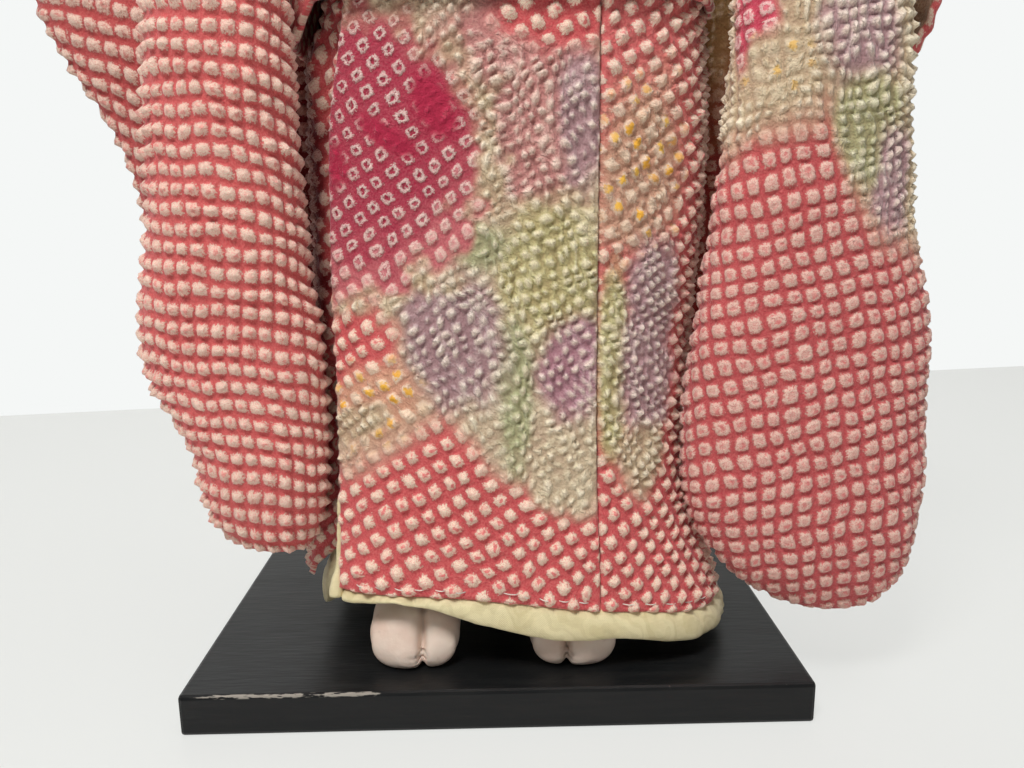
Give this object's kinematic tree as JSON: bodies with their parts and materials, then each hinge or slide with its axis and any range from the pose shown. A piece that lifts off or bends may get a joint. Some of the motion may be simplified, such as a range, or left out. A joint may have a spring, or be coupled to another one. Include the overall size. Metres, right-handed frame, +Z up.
{
  "type": "ichimatsu doll",
  "caption": "Standing ichimatsu doll in a long-sleeved kimono of bound-dot dyed crepe, on a black lacquered base board.",
  "frame": {"origin": "under the middle of the base board", "axes": "+Z up, the doll faces -Y, +X is the viewer's right"},
  "size_m": [0.3023, 0.14, 0.4124],
  "materials": {
    "lacquer": "black satin lacquer, worn pale along the top front edge",
    "steel": "plain drawn rod",
    "gofun": "smooth shell-white coating with a pink tinge, soft sheen",
    "stuffed_cloth": "plain cotton over stuffing",
    "crepe": "silk crepe with raised bound-dot dyed bumps, coral with cream, crimson, lavender and yellow-green fields",
    "silk_lining": "cream figured silk, creased",
    "collar_silk": "plain white silk",
    "obi_brocade": "plain gold-coloured brocade",
    "obi_cord_silk": "green braided silk",
    "obi_scarf_silk": "plain orange silk",
    "eye_glass": "dark glass",
    "hair": "straight black hair, bobbed"
  },
  "bodies": {
    "root": {"base_board": "lacquer", "support_post": "steel", "left_leg": "gofun", "right_leg": "gofun", "left_hand": "gofun", "right_hand": "gofun", "head": "gofun", "left_thigh": "stuffed_cloth", "right_thigh": "stuffed_cloth", "torso": "stuffed_cloth", "front_overlap_gusset": "crepe", "front_body_panel": "crepe", "under_panel": "crepe", "back_panel": "crepe", "bodice": "crepe", "hip_fold": "crepe", "kimono_collar": "crepe", "right_sleeve": "crepe", "left_sleeve": "crepe", "right_sleeve_fold": "crepe", "left_sleeve_fold": "crepe", "right_cuff": "crepe", "left_cuff": "crepe", "front_hem_lining": "silk_lining", "under_hem_lining": "silk_lining", "back_hem_lining": "silk_lining", "under_collar": "collar_silk", "obi": "obi_brocade", "obi_bow": "obi_brocade", "obi_cord": "obi_cord_silk", "obi_scarf": "obi_scarf_silk", "left_eye": "eye_glass", "right_eye": "eye_glass", "hair": "hair"}
  },
  "joints": []
}
